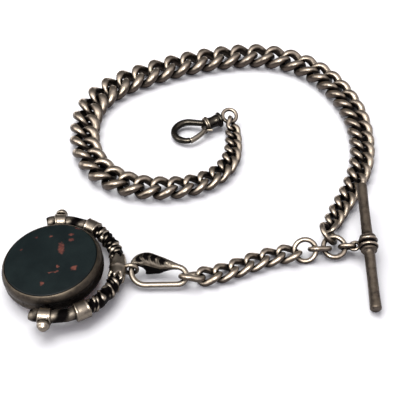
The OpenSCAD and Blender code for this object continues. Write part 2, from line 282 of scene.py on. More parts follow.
class Nodes:
    def __init__(self, name):
        self.material = bpy.data.materials.new(name)
        self.material.use_nodes = True
        self.tree = self.material.node_tree
        self.shader = self.tree.nodes["Principled BSDF"]

    def add(self, kind, inputs=None, **settings):
        node = self.tree.nodes.new("ShaderNode" + kind)
        for key, value in settings.items():
            setattr(node, key, value)
        for key, value in (inputs or {}).items():
            if isinstance(value, bpy.types.NodeSocket):
                self.tree.links.new(value, node.inputs[key])
            else:
                node.inputs[key].default_value = value
        return node

    def math(self, operation, a, b=0.0, clamp=False):
        node = self.add("Math", {0: a, 1: b}, operation=operation, use_clamp=clamp)
        return node.outputs[0]

    def spread(self, value, low, high, out_low=0.0, out_high=1.0):
        node = self.add("MapRange", {
            "Value": value, "From Min": low, "From Max": high,
            "To Min": out_low, "To Max": out_high,
        }, interpolation_type="SMOOTHSTEP")
        return node.outputs["Result"]

    def mix(self, factor, a, b):
        node = self.add("Mix", data_type="RGBA")
        for socket, value in ((node.inputs["Factor"], factor), (node.inputs[6], a), (node.inputs[7], b)):
            if isinstance(value, bpy.types.NodeSocket):
                self.tree.links.new(value, socket)
            else:
                socket.default_value = value if isinstance(value, float) else (*value, 1.0)
        return node.outputs[2]

    def noise(self, scale, detail=4.0, rough=0.6, stretch=(1, 1, 1)):
        spot = self.add("TexCoord").outputs["Object"]
        spot = self.add("Mapping", {"Vector": spot, "Scale": stretch}).outputs[0]
        node = self.add("TexNoise", {
            "Vector": spot, "Scale": scale, "Detail": detail, "Roughness": rough,
        })
        return node.outputs["Fac"]

    def set(self, **values):
        for key, value in values.items():
            socket = self.shader.inputs[key.replace("_", " ")]
            if isinstance(value, bpy.types.NodeSocket):
                self.tree.links.new(value, socket)
            else:
                socket.default_value = value if isinstance(value, float) else (*value, 1.0)
        return self

    def bump(self, height, strength, distance):
        node = self.add("Bump", {"Height": height, "Strength": strength, "Distance": distance})
        self.tree.links.new(node.outputs[0], self.shader.inputs["Normal"])


# Noise scales, in cells for each metre: stains about 2 mm across, and a grain of 0.4 mm
STAIN_SCALE = 520.0
GRAIN_SCALE = 2600.0


def aged_metal_with_painted_light(name, bright, middle, dark, shine=0.26, hollow=1.9, rub_and_highlight_from=0.62, tarnish=0.6, cut=False):
    """Old silver: polished where it is touched and given a painted highlight where it faces up, brown on
    the flanks, black in the hollows from tarnish and painted shade.
    shine is the roughness of clean metal, hollow how wide a gap gets painted shade, the argument after it
    how far up a surface must face before it takes polish and a painted highlight, from 0 to 1, and tarnish
    the strength of the stains. The last argument says that the piece's faces carry a mark that blackens
    engraved hollows and painted shadow."""
    n = Nodes(name)
    # Ambient occlusion, used below to paint shade into hollows and gaps between parts
    open_sky = n.add("AmbientOcclusion", {"Distance": hollow * MM}, samples=8).outputs["AO"]
    patches = n.noise(STAIN_SCALE, 6.0, 0.65)
    fine = n.noise(GRAIN_SCALE, 3.0, 0.6)
    up = n.add("SeparateXYZ", {0: n.add("TexCoord").outputs["Normal"]}).outputs["Z"]
    uneven = n.math("MULTIPLY", n.math("SUBTRACT", patches, 0.5), 0.9)
    # Polish and a painted highlight where the surface faces up and stands clear of its neighbours
    rub_and_highlight = n.spread(n.math("ADD", up, uneven), rub_and_highlight_from - 0.25, rub_and_highlight_from + 0.3)
    rub_and_highlight = n.math("MULTIPLY", rub_and_highlight, n.spread(open_sky, 0.4, 0.85))
    # Painted shade: black where ambient occlusion finds hollows and gaps between parts; tarnish stains
    # join it below, away from the polish
    shade_and_tarnish = n.math("SUBTRACT", 1.0, n.spread(n.math("ADD", open_sky, uneven), 0.3, 0.92))
    stain = n.math("MULTIPLY", n.spread(patches, 0.52, 0.7), tarnish)
    shade_and_tarnish = n.math("MAXIMUM", shade_and_tarnish, n.math("MULTIPLY", stain, n.math("SUBTRACT", 1.0, rub_and_highlight)))
    if cut:
        # Marked faces turn black and lose their highlight: engraved hollows, and painted shadow such as
        # the pear loop's inner side
        depth = n.math("ADD", n.add("Attribute", attribute_name="cut").outputs["Fac"], uneven, True)
        rub_and_highlight = n.math("MULTIPLY", rub_and_highlight, n.math("SUBTRACT", 1.0, depth))
        shade_and_tarnish = n.math("MAXIMUM", shade_and_tarnish, n.spread(depth, 0.15, 0.75))
    base = n.mix(rub_and_highlight, middle, bright)
    base = n.mix(shade_and_tarnish, base, dark)
    rough = n.math("ADD", n.math("MULTIPLY", shade_and_tarnish, 0.3), n.math("MULTIPLY", fine, 0.18))
    rough = n.math("ADD", rough, shine)
    n.set(Base_Color=base, Metallic=1.0, Roughness=rough)
    n.bump(n.math("ADD", n.math("MULTIPLY", fine, 0.5), patches), 0.35, 0.05 * MM)
    return n.material


# Polish with a painted highlight on top, plain metal on the flanks, and tarnish with painted shade in
# hollows; the other metals below take the same three
SILVER_POLISH_AND_HIGHLIGHT = (0.86, 0.72, 0.55)
SILVER_FLANK = (0.075, 0.059, 0.048)
SILVER_TARNISH_AND_SHADE = (0.006, 0.005, 0.005)
chain_metal = aged_metal_with_painted_light("worn_silver", SILVER_POLISH_AND_HIGHLIGHT, SILVER_FLANK, SILVER_TARNISH_AND_SHADE)
bar_metal = aged_metal_with_painted_light(
    "bar_silver", (0.42, 0.34, 0.25), (0.105, 0.085, 0.068), (0.02, 0.016, 0.014),
    shine=0.4, rub_and_highlight_from=0.85, tarnish=0.9)
clip_metal = aged_metal_with_painted_light(
    "clip_silver", (0.15, 0.13, 0.10), (0.018, 0.016, 0.014), (0.003, 0.003, 0.003), shine=0.16)
bail_metal = aged_metal_with_painted_light(
    "relief_silver", (0.62, 0.53, 0.41), (0.10, 0.083, 0.066), (0.006, 0.005, 0.005),
    shine=0.3, hollow=1.0, rub_and_highlight_from=0.45, cut=True)
carved_metal = aged_metal_with_painted_light("carved_silver", SILVER_POLISH_AND_HIGHLIGHT, SILVER_FLANK, SILVER_TARNISH_AND_SHADE, cut=True)
polished = aged_metal_with_painted_light(
    "rubbed_silver", (0.70, 0.60, 0.46), (0.17, 0.145, 0.115), (0.012, 0.010, 0.009),
    shine=0.22, hollow=0.8, rub_and_highlight_from=0.6, tarnish=0.45)
gilt = aged_metal_with_painted_light(
    "worn_gilt", (0.17, 0.138, 0.10), (0.055, 0.045, 0.036), (0.006, 0.005, 0.005),
    shine=0.38, hollow=3.0)
steel = aged_metal_with_painted_light(
    "dull_steel", (0.3, 0.29, 0.27), (0.15, 0.145, 0.14), (0.03, 0.03, 0.03), shine=0.4)


# ---- links and rings ----

# Points on each half ring of a link
HALF_RING = 24


def half_length(start, end, wire):
    """From a link's middle to the centre line at its very end."""
    return np.linalg.norm(np.asarray(end) - np.asarray(start)) / 2 + wire + PLAY / 2


def half_rings(reach, bend):
    """A link's flat outline: its front half ring and its back one, reach from its middle."""
    front = circle_points(bend, -90, 180, HALF_RING) + [reach, 0, 0]
    back = circle_points(bend, 90, 180, HALF_RING) - [reach, 0, 0]
    return front, back


def rolled(flat, roll):
    """Flat points rolled about X, by one angle or by one for each point, in degrees."""
    roll = np.radians(roll)
    return np.column_stack([flat[:, 0], flat[:, 1] * np.cos(roll), flat[:, 1] * np.sin(roll)])


def between(start, end):
    """Takes a link's own frame, with its middle halfway between its joints, to the chain."""
    return frame_map((np.asarray(start) + np.asarray(end)) / 2, along(start, end))


def link_path(start, end, bend, wire, back_roll, front_roll, count=56):
    """Centre line of a link: two half rings, each rolled about the link's length, and its sides."""
    front, back = half_rings(half_length(start, end, wire) - bend, bend)
    outline = np.vstack([rolled(front, front_roll), rolled(back, back_roll)])
    return between(start, end)(smoothed(resample(outline, count, True), 3, True))


def curb_path(start, end, bend, wire, count=60):
    """Centre line of a curb link: its roll goes evenly from END_TWIST to its opposite."""
    tip = half_length(start, end, wire)
    flat = resample(np.vstack(half_rings(tip - bend, bend)), count, True)
    return between(start, end)(rolled(flat, -END_TWIST * flat[:, 0] / tip))


def stout_sides(path, start, end, wire, more):
    """A tube section that is wire thick at a link's ends and stouter by that share at its sides."""
    run = unit(np.asarray(end) - np.asarray(start))
    off = path - path.mean(0)
    off = np.linalg.norm(off - (off @ run)[:, None] * run, axis=1)
    radius = (wire * (1 + more * (off / off.max()) ** 2))[:, None]
    return lambda place, angles: (radius * np.cos(angles), radius * np.sin(angles))


def link_centres(node, start):
    """The middles of a node's two links, the one nearer to start first."""
    co = vertices_of(node)
    mesh = frame["nodes"][node].data
    group = list(range(len(co)))

    def root(i):
        while group[i] != i:
            group[i] = group[group[i]]
            i = group[i]
        return i

    spots = {}
    for i, p in enumerate(np.round(co, 4).tolist()):
        j = spots.setdefault(tuple(p), i)
        group[root(i)] = root(j)
    for i, j in mesh.edge_keys:
        group[root(i)] = root(j)
    roots = np.array([root(i) for i in range(len(co))])
    centres = []
    for r in np.unique(roots):
        part = co[roots == r]
        centres.append((part.min(0) + part.max(0)) / 2)
    return sorted(centres, key=lambda centre: np.linalg.norm(centre - start))


# How far the wire of a curb link is rolled out of the flat at its very ends
END_TWIST = 50
# The rolls of the chain's outermost half rings, which meet the end ring and the clip's eye
FIRST_ROLL = -46
LAST_ROLL = 68
# Links of up to SLIM_PITCH have SLIM_BEND of the usual width and gain SLIM_STOUT at their sides;
# links that are SLIM_RANGE longer have the full width and gain FULL_STOUT
SLIM_PITCH = 3.1
SLIM_RANGE = 1.6
SLIM_BEND = 0.8
SLIM_STOUT = 0.2
FULL_STOUT = 0.48
MAIN_WORN = 0.16


def main_chain():
    names = sorted(n for n in frame["nodes"] if n.startswith("main_links_"))
    joints = sorted(j for j in JOINTS if j.startswith("main_joint_"))
    starts = [pivot(j) for j in joints] + [pivot("clip_eye_swing")]
    last = len(names) - 1
    for i, name in enumerate(names):
        start, end = starts[i], starts[i + 1]
        centres = link_centres(name, start)
        # The joint inside the node: one end of a link, mirrored in that link's middle. The first
        # link's own middle is off, because its two half rings are rolled unevenly.
        middle = 2 * centres[1] - end if i == 0 else 2 * centres[0] - start
        shape = Shape()
        for k, (p, q) in enumerate(((start, middle), (middle, end))):
            pitch = np.linalg.norm((q - p)[:2])
            wire = WIRE_SHARE * pitch
            full = float(np.clip((pitch - SLIM_PITCH) / SLIM_RANGE, 0, 1))
            bend = BEND_SHARE * pitch * (SLIM_BEND + (1 - SLIM_BEND) * full)
            if i == 0 and k == 0:
                path = link_path(p, q, bend, wire, FIRST_ROLL, -TWIST)
            elif i == last and k == 1:
                path = link_path(p, q, bend, wire, TWIST, LAST_ROLL)
            else:
                path = curb_path(p, q, bend, wire)
            more = SLIM_STOUT + (FULL_STOUT - SLIM_STOUT) * full
            shape.tube(path, stout_sides(path, p, q, wire + CONTACT, more))
        shape.object(name + "_worn", chain_metal, name, "chain_silver", [name], worn=MAIN_WORN)


DROP_BEND = 1.75
DROP_WIRE = 0.5
DROP_STOUT = 0.35
DROP_LAST_ROLL = 45
DROP_WORN = 0.1


def drop_chain():
    names = sorted(n for n in frame["nodes"] if n.startswith("drop_link_"))
    joints = sorted(j for j in JOINTS if j.startswith("drop_joint_"))
    starts = [pivot(j) for j in joints] + [pivot("pear_loop_swing")]
    for i, name in enumerate(names):
        start, end = starts[i], starts[i + 1]
        if i == len(names) - 1:
            path = link_path(start, end, DROP_BEND, DROP_WIRE, TWIST, DROP_LAST_ROLL)
        else:
            path = curb_path(start, end, DROP_BEND, DROP_WIRE)
        sides = stout_sides(path, start, end, DROP_WIRE + CONTACT, DROP_STOUT)
        shape = Shape().tube(path, sides)
        shape.object(name + "_worn", chain_metal, name, "chain_silver", [name], worn=DROP_WORN)


def plain_rings():
    for node, body in (("junction_ring", "junction"), ("main_end_ring", "main_end_ring"),
                       ("drop_ring", "drop_ring")):
        centre, planes, bend, wire = ring_frame(node)
        path = frame_map(centre, planes)(circle_points(bend, 0, 360, 73)[:-1])
        shape = Shape().tube(path, wire + CONTACT, sides=20)
        shape.object(node + "_worn", chain_metal, body, "chain_silver", [node])


def loose_links():
    """The two plain links: one to the T-bar, one between the junction ring and the drop."""
    for node, start, end, bend, wire, roll in (
            ("t_bar_link", "t_bar_link_swing", "t_bar_collar_swing", 1.3, 0.45, -62),
            ("junction_link", "drop_ring_swing", "junction_link_swing", 1.6, 0.52, -50)):
        path = link_path(pivot(start), pivot(end), bend, wire, roll, roll)
        shape = Shape().tube(path, wire + CONTACT)
        shape.object(node + "_worn", chain_metal, node, "chain_silver", [node])


def arc_profile(centre, radius, start, sweep, count=7):
    """Points of a lathe's profile along an arc, in degrees from +X towards the radius."""
    t = np.radians(np.linspace(start, start + sweep, count))
    return [(centre[0] + radius * math.cos(a), centre[1] + radius * math.sin(a)) for a in t]


# ---- T-bar ----

BAR_R = 1.4
BAR_END_ROUND = 0.6
# The bar is slimmer by WAIST in the middle of each shank, which ends at the bead
WAIST = 0.12
SHANK = 17
BEAD_X = 1.82
BEAD_R = 0.42
COLLAR_W = 2.6
COLLAR_R = 2.35
BAR_EYE_BEND = 1.15
BAR_EYE_WIRE = 0.42
BAR_EYE_OUT = unit([-1, 0.1, -0.35])
BAR_EYE_NORMAL = unit([-0.35, 0, 1])


def bar_place():
    return frame_map(pivot("t_bar_spin"), along([0, 0, 0], axis("t_bar_spin")))


def t_bar():
    local = (vertices_of("t_bar") - pivot("t_bar_spin")) @ axis("t_bar_spin")
    half = local.max()
    # Rounded end, a slim waist from years of use, and the bead that holds the collar
    end = [(-half, 0.05)]
    end += arc_profile((-half + BAR_END_ROUND, BAR_R - BAR_END_ROUND - 0.02), BAR_END_ROUND, 180, -90, 6)
    shank = [(-half + x, BAR_R - 0.02 - WAIST * math.sin(math.pi * x / SHANK)) for x in range(1, SHANK, 2)]
    bead = [(-BEAD_X - BEAD_R - 0.01, BAR_R - 0.03)]
    bead += arc_profile((-BEAD_X, BAR_R + 0.2), BEAD_R, 180, -180, 9)
    side = end + shank + bead
    profile = side + [(-x, r) for x, r in reversed(side)]
    shape = Shape().lathe(profile, bar_place(), 40)
    shape.object("t_bar_worn", bar_metal, "t_bar", "bar_silver", ["t_bar"])


def t_bar_collar():
    bore = BAR_R + 0.05
    half = COLLAR_W / 2
    ridges = [(-half, bore), (-half, COLLAR_R - 0.35)]
    ridges += arc_profile((-half + 0.45, COLLAR_R - 0.4), 0.42, 180, -150, 7)
    ridges += [(-0.25, COLLAR_R - 0.45), (0, COLLAR_R - 0.5)]
    profile = ridges + [(-x, r) for x, r in reversed(ridges[:-1])]
    groove = np.clip((COLLAR_R - 0.1 - np.array(profile)[:, 1:]) / 0.3, 0, 1)
    shape = Shape().lathe(profile, bar_place(), 48, closed=True, cut=groove)
    eye = pivot("t_bar_collar_swing") - (BAR_EYE_BEND - BAR_EYE_WIRE - PLAY / 2) * BAR_EYE_OUT
    side = np.cross(BAR_EYE_NORMAL, BAR_EYE_OUT)
    place = frame_map(eye, np.column_stack([BAR_EYE_OUT, side, BAR_EYE_NORMAL]))
    shape.tube(place(circle_points(BAR_EYE_BEND, 0, 360, 49)[:-1]), BAR_EYE_WIRE)
    shape.object("t_bar_collar_worn", carved_metal, "t_bar_collar", "bar_silver", ["t_bar_collar"])


# ---- dog clip ----

CLIP_EYE_BEND = 2.0
CLIP_EYE_WIRE = 0.55
CLIP_EYE_ROLL = 25
# The hook leaves the collar at HOOK_ROOT and runs into a bow, from BOW_START to BOW_END degrees
HOOK_ROOT = (7.7, -0.72)
HOOK_X = 13.2
HOOK_BEND = 3.85
HOOK_WIRE = 1.02
BOW_START = -127
BOW_END = 80
CHEEK_X = 8.5
CHEEK_T = 0.5
GATE_PIVOT = (8.6, 2.0)
GATE_TIP = (13.6, 3.85)
GATE_T = 0.82
LEVER = 1.75
LEVER_HEADING = math.radians(140)


def clip_place():
    z = -axis("gate_hinge")
    x = axis("clip_swivel")
    return frame_map(pivot("clip_swivel"), np.column_stack([x, np.cross(z, x), z]))


def clip_eye():
    place = clip_place()
    ring = rolled(circle_points(CLIP_EYE_BEND, 0, 360, 57)[:-1], -CLIP_EYE_ROLL)
    shape = Shape().tube(place(ring), CLIP_EYE_WIRE)
    stem = [(2.0, 0.3), (2.3, 0.85), (2.62, 0.62), (2.7, 0.55), (4.6, 0.55)]
    rivet_head = [(4.62, 0.88), (5.1, 0.88), (5.2, 0.4)]
    shape.lathe(stem + rivet_head, place, 24)
    node = "clip_swivel_eye"
    shape.object(node + "_worn", chain_metal, node, "clip_silver", [node])


def clip_barrel():
    rim = [(2.75, 0.6), (2.75, 1.7)] + arc_profile((3.25, 1.75), 0.48, 180, -180, 9)
    waist = [(3.85, 1.62), (4.2, 1.85), (4.5, 1.72), (5.2, 1.6), (5.9, 1.6), (6.5, 1.72), (6.74, 1.8)]
    # The stem's rivet head turns in this chamber
    chamber = [(6.74, 0.3), (5.45, 0.3), (5.45, 1.0), (4.4, 1.0), (4.4, 0.6)]
    shape = Shape().lathe(rim + waist + chamber, clip_place(), 40, closed=True)
    shape.object("clip_barrel_worn", clip_metal, "dog_clip", "clip_silver", ["clip_barrel"])


def clip_collar():
    profile = [(6.76, 0.2), (6.76, 1.8)] + arc_profile((7.05, 1.95), 0.32, 180, -170, 8)
    profile += arc_profile((7.6, 1.8), 0.32, 170, -170, 8) + [(7.9, 0.2)]
    shape = Shape().lathe(profile, clip_place(), 40)
    shape.object("clip_collar_worn", [polished], "dog_clip", "clip_silver", ["clip_collar"])


def clip_hook():
    place = clip_place()
    arc = circle_points(HOOK_BEND, BOW_START, BOW_END - BOW_START, 60) + [HOOK_X, 0, 0]
    root = np.linspace([*HOOK_ROOT, 0], arc[0], 14)[:-1]
    path = smoothed(resample(np.vstack([root, arc]), 90, False), 3, False)

    def section(t, a):
        # Slim where it leaves the collar, full round the bow, and thin at the flat tip
        full = 0.82 + 0.18 * np.sin(np.clip(t / 0.92, 0, 1) * math.pi) ** 0.8
        tip = np.sqrt(np.clip(1 - ((t - 0.98) / 0.021) ** 2, 0.04, 1))
        full = full * np.where(t > 0.98, tip, 1)
        return HOOK_WIRE * full * np.cos(a), HOOK_WIRE * full * np.sin(a)

    shape = Shape().tube(place(path), section, closed=False, sides=20, first=upwards(place))
    # Two cheeks hold the gate's pin, and lean in where they meet the collar
    turn = np.radians(np.linspace(0, 360, 25)[:-1])
    cheek = np.column_stack([CHEEK_X + 0.95 * np.cos(turn), 1.55 + 1.05 * np.sin(turn)])
    cheek[:, 1] -= np.where(cheek[:, 0] < CHEEK_X, 0.5, 0) * (CHEEK_X - cheek[:, 0])
    for low in (-2 * CHEEK_T, CHEEK_T):
        shape.plate(cheek, low, low + CHEEK_T, 0.12, place)
    shape.object("clip_hook_worn", clip_metal, "dog_clip", "clip_silver", ["clip_hook"])


def clip_gate():
    place = clip_place()
    hinge, tip = np.array([*GATE_PIVOT, 0]), np.array([*GATE_TIP, 0])
    run = unit(tip - hinge)
    side = np.array([-run[1], run[0], 0])
    length = np.linalg.norm(tip - hinge) + 0.5
    share = np.linspace(0, 1, 24)[:, None]
    # The tongue bows outwards a little, as the loop does
    path = hinge + run * length * share + side * 0.35 * np.sin(math.pi * share)

    def tongue(t, a):
        return GATE_T * np.cos(a), (0.62 + 0.12 * t) * np.sin(a)

    def lever_section(t, a):
        return 0.38 * np.cos(a), (0.3 + 0.12 * t ** 3) * np.sin(a)

    def about_pin(local):
        return place(local[..., [1, 2, 0]] + hinge)

    shape = Shape().tube(place(path), tongue, closed=False, sides=16, first=upwards(place))
    knuckle = [(-0.4, 0.38), (-0.4, 0.6), (-0.3, 0.7), (0.3, 0.7), (0.4, 0.6), (0.4, 0.38)]
    shape.lathe(knuckle, about_pin, 28, closed=True)
    heading = np.array([math.cos(LEVER_HEADING), math.sin(LEVER_HEADING), 0])
    lever = hinge + LEVER * share * heading + np.array([-0.5, -0.1, 0]) * share ** 2
    shape.tube(place(lever), lever_section, closed=False, sides=14, first=upwards(place))
    shape.object("clip_gate_worn", [polished], "clip_gate", "clip_silver", ["clip_gate"])


# ---- pear loop ----

PEAR_BIG = 3.4
PEAR_SMALL = 2.1
# The CAD's wire, which sets where the loop's ends lie, and the one that is seen
PEAR_WIRE = 0.6
PEAR_SEEN_WIRE = 0.68
PEAR_ROLL = -25
PEAR_SIDES = 56
# Where the middle of the engraved face lies round the section, and half its width
FACE_AT = 0.12
FACE_HALF = 0.12
LEAF_PITCH = 2.6
VEIN_PITCH = 0.7


def spread_out(values, rounds):
    """Values round a closed loop, evened out with their neighbours."""
    for _ in range(rounds):
        values = (np.roll(values, 1) + values + np.roll(values, -1)) / 3
    return values


def band_wall(outline):
    """A section of the band, given as (across, up) in the table's frame, in the loop's own."""
    tilt = math.radians(PEAR_ROLL)
    c, s = math.cos(tilt), math.sin(tilt)
    wall = np.array([(y * c - z * s, z * c + y * s, 0) for y, z in outline])
    return smoothed(resample(wall, PEAR_SIDES, True), 1, True)[None, :, :2]


def pear_loop():
    start, end = pivot("pear_loop_swing"), pivot("fob_swing")
    place = frame_map(start, along(start, end, PEAR_ROLL))
    inset = PEAR_WIRE + PLAY / 2
    small_x = PEAR_SMALL - inset
    big_x = np.linalg.norm(end - start) + inset - PEAR_BIG
    slope = math.degrees(math.asin((PEAR_BIG - PEAR_SMALL) / (big_x - small_x)))
    big = circle_points(PEAR_BIG, -90 - slope, 180 + 2 * slope, 60) + [big_x, 0, 0]
    small = circle_points(PEAR_SMALL, 90 + slope, 180 - 2 * slope, 40) + [small_x, 0, 0]
    path = smoothed(resample(np.vstack([big, small]), 220, True), 4, True)

    # Both are 1 along the upper side of the loop and 0 round the rest, with soft ends
    run = path[:, 0] / (big_x + PEAR_BIG)
    beyond = np.degrees(np.arctan2(path[:, 1], path[:, 0] - big_x))
    banded = np.where(path[:, 1] < 0, 1.0, 0.0) * np.clip((run - 0.1) / 0.32, 0, 1)
    banded = spread_out(banded * np.clip((-12 - beyond) / 34, 0, 1) ** 0.7, 6)[:, None]
    deep = np.clip((run - 0.15) / 0.5, 0, 1) * np.clip((-20 - beyond) / 70, 0, 1) * (path[:, 1] < 0)
    deep = spread_out(deep, 8)[:, None, None]

    # The band's section: a crowned face, and below it a wall that hangs deepest near the big end
    crown = [(-1.7, 0.0), (-1.2, 0.75), (-0.5, 1.2), (0.3, 1.25), (0.9, 0.85), (1.15, 0.1)]
    under = [(1.0, -0.9), (0.5, -1.5), (-0.1, -1.8), (-0.7, -1.8)]
    under += [(-1.1, -1.6), (-1.4, -1.2), (-1.7, -0.7)]
    hang = [(1.0, -0.9), (0.4, -1.9), (-1.1, -2.8), (-2.7, -3.1)]
    hang += [(-3.0, -2.6), (-2.4, -1.8), (-1.9, -0.7)]
    slim = band_wall(crown + under)
    wall = slim + deep * (band_wall(crown + hang) - slim)

    # Leaves on the face, with veins that run out from the middle
    turned = np.linspace(0, 1, PEAR_SIDES, endpoint=False)[None, :]
    face = np.exp(-((turned - FACE_AT) / 0.1) ** 4)
    s = np.cumsum(np.linalg.norm(np.roll(path, -1, 0) - path, axis=1))[:, None]
    across = np.abs((turned - FACE_AT) / FACE_HALF)
    leaf = np.cos(2 * math.pi * (s / LEAF_PITCH + 0.45 * across)) * np.clip(1 - across, 0, 1) ** 0.5
    vein = np.cos(2 * math.pi * (s / VEIN_PITCH + 1.1 * across))
    relief = banded * face * (0.13 * leaf + 0.05 * vein)

    def section(t, a):
        off_n = (1 - banded) * PEAR_SEEN_WIRE * np.cos(a) + banded * wall[:, :, 1]
        off_b = (1 - banded) * PEAR_SEEN_WIRE * np.sin(a) + banded * wall[:, :, 0]
        return off_n + relief * np.cos(a), off_b + relief * np.sin(a)

    # Dark between the leaves, and a painted shadow all over the side that faces into the loop
    inner = 1.0 * ((turned > 0.3) & (turned < 0.93))
    cut = banded * np.maximum(face * np.clip(0.72 - 1.6 * relief, 0, 1), inner)
    shape = Shape().tube(place(path), section, sides=PEAR_SIDES, first=upwards(place), cut=cut)
    shape.object("pear_loop_engraved", bail_metal, "pear_loop", "engraved_silver", ["pear_loop"])


# ---- fob ----

BAIL_R = 14.6
BAIL_SHIFT = 0.7
BAIL_SPAN = 106
BAIL_ROWS = 460
BAIL_SIDES = 44
# Angles along the bail: the carving runs from its middle to the outer bands, and the rest is plain
CARVED_END = 57
PLAIN_START = 63
BAIL_EYE_BEND = 1.5
BAIL_EYE_WIRE = 0.5
BEZEL_R = 12.0
BEZEL_HALF = 2.8
STONE_R = 10.9
STONE_T = 1.9
STONE_ROUND = 0.3
WEB_T = 1.9
PIN_R = 0.6
# The pins' heads start this far outside the bail's centre line
PIN_HEAD = 2.06


def fob_frame():
    at, eye = pivot("fob_spin"), pivot("fob_swing")
    return frame_map(at, along(at, eye))


def bail_arc(angle, half, count):
    """The bail's centre line. Its local Y points towards -Y, so angles run from the lower pin up."""
    return circle_points(BAIL_R, angle - half, 2 * half, count) + [BAIL_SHIFT, 0, 0]


def bail_relief(t, a):
    """The bail's radius and how black it is: lobes, veins and beads, then a plain dull rod."""
    angle = (2 * t - 1) * BAIL_SPAN
    side = np.abs(angle)
    s = np.radians(angle) * BAIL_R
    inside = np.clip((side - 8) / 4, 0, 1) * np.clip((CARVED_END - side) / 3, 0, 1)
    turn = np.sign(angle) * a
    lobes = 0.26 * np.cos(2 * math.pi * s / 3.3 + turn) * np.cos(2 * a + 0.8 * s)
    vein = 0.13 * np.cos(2 * math.pi * s / 1.35 - 3 * turn + 1.6 * np.sin(1.1 * s + a))
    bead_row = np.exp(-((np.sin((a - 5.4) / 2)) / 0.16) ** 2)
    beads = 0.2 * np.clip(np.cos(2 * math.pi * s / 1.55), 0, 1) * bead_row
    carving = lobes + vein + beads
    worn_rod = 0.05 * np.cos(2 * math.pi * s / 4.3 + a) * np.clip((side - PLAIN_START) / 5, 0, 1)
    slim_end = 0.25 * np.clip((side - 101) / 5, 0, 1) ** 2
    radius = 1.5 + 0.12 * inside - slim_end + inside * carving + worn_rod
    cut = inside * np.clip((0.2 - carving) / 0.22, 0, 1) + (1 - inside) * (0.62 - 5 * worn_rod)
    return radius, cut


def bail_band(radius, width):
    """The section of a collar round the bail, with a raised lip at both of its edges."""
    def rolled_edge(t, a):
        edge = np.minimum(t, 1 - t) * width
        rise = np.clip(edge / 0.22, 0, 1) ** 0.5
        lip = 0.16 * np.exp(-((edge - 0.35) / 0.18) ** 2)
        r = radius - 0.45 + 0.3 * rise + lip + 0.1 * np.sin(math.pi * t)
        return r * np.cos(a), r * np.sin(a)

    return rolled_edge


def leaf_collar(t, a):
    """The collar at the top of the bail: its edges run out into points round the rod."""
    reach = 0.62 + 0.38 * np.cos(3 * a + 0.4) ** 2
    across = np.abs(2 * t - 1) / reach
    rise = np.clip((1 - across) / 0.18, 0, 1) ** 0.6
    ridge = 0.14 * np.exp(-((2 * t - 1) / 0.12) ** 2)
    fold = 0.1 * np.cos(6 * a) * np.clip(1 - across, 0, 1)
    r = 1.25 + rise * (0.82 + ridge + fold)
    return r * np.cos(a), r * np.sin(a)


def fob_bail():
    place = fob_frame()
    up = upwards(place)

    def relief(t, a):
        r = bail_relief(t, a)[0]
        return r * np.cos(a), r * np.sin(a)

    rows = np.linspace(0, 1, BAIL_ROWS)[:, None]
    round_it = np.linspace(0, 2 * math.pi, BAIL_SIDES, endpoint=False)[None, :]
    cut = bail_relief(rows, round_it)[1]
    path = bail_arc(0, BAIL_SPAN, BAIL_ROWS)
    shape = Shape().tube(place(path), relief, closed=False, sides=BAIL_SIDES, first=up, cut=cut)

    # A collar at each pin and one where the carving ends, then the leaf collar at the top
    for side in (-1, 1):
        for angle, radius, width in ((92.7, 1.95, 3.0), (60, 2.2, 3.4)):
            arc = bail_arc(side * angle, math.degrees(width / 2 / BAIL_R), 22)
            shape.tube(place(arc), bail_band(radius, width), closed=False, sides=40, first=up, finish=1)
    arc = bail_arc(0, math.degrees(3.9 / BAIL_R), 60)
    shape.tube(place(arc), leaf_collar, closed=False, sides=60, first=up, finish=1)

    # The eye stands on a short turned neck
    neck = [(BAIL_R + BAIL_SHIFT + 0.9, 1.5), (16.6, 1.42), (16.9, 1.05), (17.2, 0.8), (17.35, 0.3)]
    shape.lathe(neck, place, 28, finish=1)
    reach = np.linalg.norm(pivot("fob_swing") - pivot("fob_spin"))
    ring = circle_points(BAIL_EYE_BEND, 0, 360, 49)[:-1]
    ring = ring[:, [0, 2, 1]] + [reach - BAIL_EYE_BEND + BAIL_EYE_WIRE + PLAY / 2, 0, 0]
    shape.tube(place(ring), BAIL_EYE_WIRE, sides=18)
    shape.object("fob_bail_relief", [bail_metal, polished], "fob_frame", "bail_silver", ["fob_bail"])


def pivot_pins():
    at = pivot("fob_spin")
    head_y = BAIL_R + PIN_HEAD
    profile = [(BEZEL_R - 2, 0.1), (BEZEL_R - 2, PIN_R), (head_y - 0.1, PIN_R), (head_y - 0.1, 1.1)]
    profile += [(head_y, 1.4), (head_y + 0.15, 1.5), (head_y + 0.7, 1.46), (head_y + 0.95, 1.3)]
    profile += arc_profile((head_y + 0.62, 0.0), 1.25, 70, -66, 7)
    for name, side in (("upper_pivot_pin", 1), ("lower_pivot_pin", -1)):
        columns = np.column_stack([[0, side, 0], [-side, 0, 0], [0, 0, 1]])
        shape = Shape().lathe(profile, frame_map(at, columns), 32)
        shape.object(name + "_worn", polished, "fob_frame", "pin_gilt", [name])


def disc_place(side):
    """Local X comes out of the disc's face on this side; the lean is read from the stone."""
    node = "bloodstone" if side > 0 else "carnelian"
    mesh = frame["nodes"][node].data
    widest = max(mesh.polygons, key=lambda f: f.area * abs(f.normal.z))
    out = unit(widest.normal) * (1 if widest.normal.z * side > 0 else -1)
    y = unit(np.cross(out, [1, 0, 0]))
    return frame_map(pivot("fob_spin"), np.column_stack([out, y, np.cross(out, y)]))


